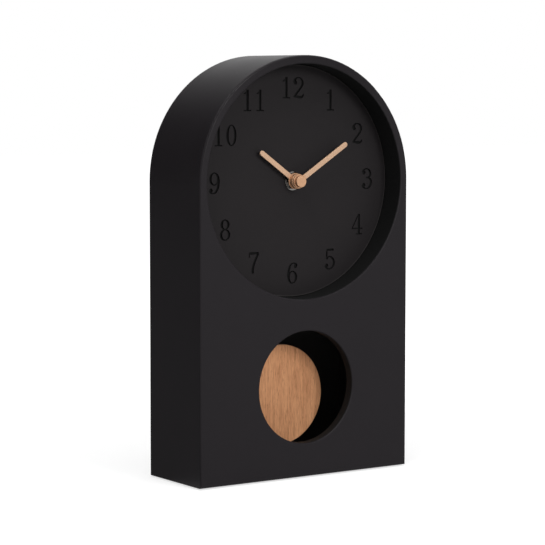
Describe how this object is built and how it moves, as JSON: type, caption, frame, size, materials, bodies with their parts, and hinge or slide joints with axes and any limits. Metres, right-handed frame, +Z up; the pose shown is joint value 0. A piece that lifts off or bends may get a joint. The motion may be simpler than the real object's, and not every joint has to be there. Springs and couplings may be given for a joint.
{
  "type": "desk pendulum clock",
  "caption": "Arched desk clock with a deep round dial, copper-coloured hands, sunk numerals and a wooden pendulum bob behind a round window.",
  "frame": {"origin": "on the ground, under the middle of the case", "axes": "+X to the right of someone facing the dial, +Y from the front to the back, +Z up"},
  "size_m": [0.178, 0.068, 0.3],
  "materials": {
    "case_lacquer": "matt black lacquer on fibreboard",
    "dial_lacquer": "matt black lacquer on fibreboard, sunk numerals",
    "back_board": "black hardboard",
    "pine": "softwood sprayed black",
    "felt_pad": "soft black foot",
    "screw_steel": "zinc plated steel",
    "movement_plastic": "black moulded plastic",
    "gasket_rubber": "black rubber",
    "bright_nickel": "bright nickel plate",
    "arbor_brass": "turned brass",
    "wheel_plastic": "natural acetal",
    "hand_copper": "satin copper coloured aluminium",
    "motor_steel": "soft iron sheet",
    "copper_wire": "enamelled copper wire",
    "board_laminate": "green circuit board",
    "crystal_can": "tinned can",
    "battery_can": "plain grey sleeve",
    "contact_nickel": "nickel plated spring strip",
    "magnet_black": "ferrite",
    "rod_steel": "bright steel wire",
    "bob_veneer": "walnut veneer, oiled",
    "clamp_zinc": "zinc casting"
  },
  "bodies": {
    "case": {"front_panel": "case_lacquer", "side_frame": "case_lacquer", "base_board": "case_lacquer", "dial_collar": "case_lacquer", "dial_plate": "dial_lacquer", "back_panel": "back_board", "back_battens": "pine", "foot_pads": "felt_pad", "back_panel_screws": "screw_steel", "hanger_pin": "screw_steel", "movement_base": "movement_plastic", "movement_cover": "movement_plastic", "drive_cover": "movement_plastic", "rubber_gasket": "gasket_rubber", "dial_washer": "bright_nickel", "hand_nut": "bright_nickel", "motor_bobbin": "wheel_plastic", "drive_bobbin": "wheel_plastic", "motor_stator": "motor_steel", "motor_core": "motor_steel", "motor_winding": "copper_wire", "drive_winding": "copper_wire", "circuit_board": "board_laminate", "quartz_crystal": "crystal_can", "contact_positive": "contact_nickel", "contact_negative": "contact_nickel"},
    "minute_works": {"minute_arbor": "arbor_brass", "minute_hand": "hand_copper"},
    "hour_works": {"hour_wheel": "wheel_plastic", "hour_hand": "hand_copper"},
    "minute_wheel": {"minute_wheel": "wheel_plastic"},
    "set_knob": {"set_knob": "movement_plastic"},
    "centre_wheel": {"centre_wheel": "wheel_plastic"},
    "third_wheel": {"third_wheel": "wheel_plastic"},
    "seconds_wheel": {"seconds_wheel": "wheel_plastic"},
    "intermediate_wheel": {"intermediate_wheel": "wheel_plastic"},
    "rotor": {"rotor": "wheel_plastic"},
    "battery": {"battery": "battery_can"},
    "pendulum": {"pendulum_hanger": "wheel_plastic", "hanger_magnet": "magnet_black", "pendulum_rod": "rod_steel", "bob_disc": "bob_veneer", "bob_clamp": "clamp_zinc", "bob_clamp_screws": "screw_steel"}
  },
  "joints": [
    {"name": "minute_hand_turn", "type": "hinge", "parent": "case", "child": "minute_works", "pos_m": [0, 0, 0.211], "axis": [0, 1, 0], "continuous": true},
    {"name": "hour_hand_turn", "type": "hinge", "parent": "case", "child": "hour_works", "pos_m": [0, 0, 0.211], "axis": [0, 1, 0], "continuous": true},
    {"name": "minute_wheel_turn", "type": "hinge", "parent": "case", "child": "minute_wheel", "pos_m": [-0.00902, 0, 0.20772], "axis": [0, 1, 0], "continuous": true},
    {"name": "set_knob_turn", "type": "hinge", "parent": "case", "child": "set_knob", "pos_m": [-0.01382, 0, 0.21603], "axis": [0, 1, 0], "continuous": true},
    {"name": "intermediate_wheel_turn", "type": "hinge", "parent": "case", "child": "intermediate_wheel", "pos_m": [0.00369, 0, 0.20085], "axis": [0, 1, 0], "continuous": true},
    {"name": "rotor_turn", "type": "hinge", "parent": "case", "child": "rotor", "pos_m": [0.00719, 0, 0.19479], "axis": [0, 1, 0], "continuous": true},
    {"name": "seconds_wheel_turn", "type": "hinge", "parent": "case", "child": "seconds_wheel", "pos_m": [0, 0, 0.211], "axis": [0, 1, 0], "continuous": true},
    {"name": "third_wheel_turn", "type": "hinge", "parent": "case", "child": "third_wheel", "pos_m": [0.0051, 0, 0.21983], "axis": [0, 1, 0], "continuous": true},
    {"name": "centre_wheel_turn", "type": "hinge", "parent": "case", "child": "centre_wheel", "pos_m": [0, 0, 0.211], "axis": [0, 1, 0], "continuous": true},
    {"name": "pendulum_swing", "type": "hinge", "parent": "case", "child": "pendulum", "pos_m": [0, 0, 0.1563], "axis": [0, 1, 0], "range_deg": [-10, 10]},
    {"name": "battery_slide", "type": "slide", "parent": "case", "child": "battery", "axis": [0, 1, 0], "range_m": [0, 0.045]}
  ],
  "couplings": [
    {"joint": "hour_hand_turn", "follows": "minute_hand_turn", "ratio": 0.083333},
    {"joint": "minute_wheel_turn", "follows": "minute_hand_turn", "ratio": -0.33333},
    {"joint": "set_knob_turn", "follows": "minute_hand_turn", "ratio": 1},
    {"joint": "rotor_turn", "follows": "intermediate_wheel_turn", "ratio": -6},
    {"joint": "seconds_wheel_turn", "follows": "intermediate_wheel_turn", "ratio": -0.2},
    {"joint": "third_wheel_turn", "follows": "intermediate_wheel_turn", "ratio": 0.025},
    {"joint": "centre_wheel_turn", "follows": "intermediate_wheel_turn", "ratio": -0.0033333}
  ]
}
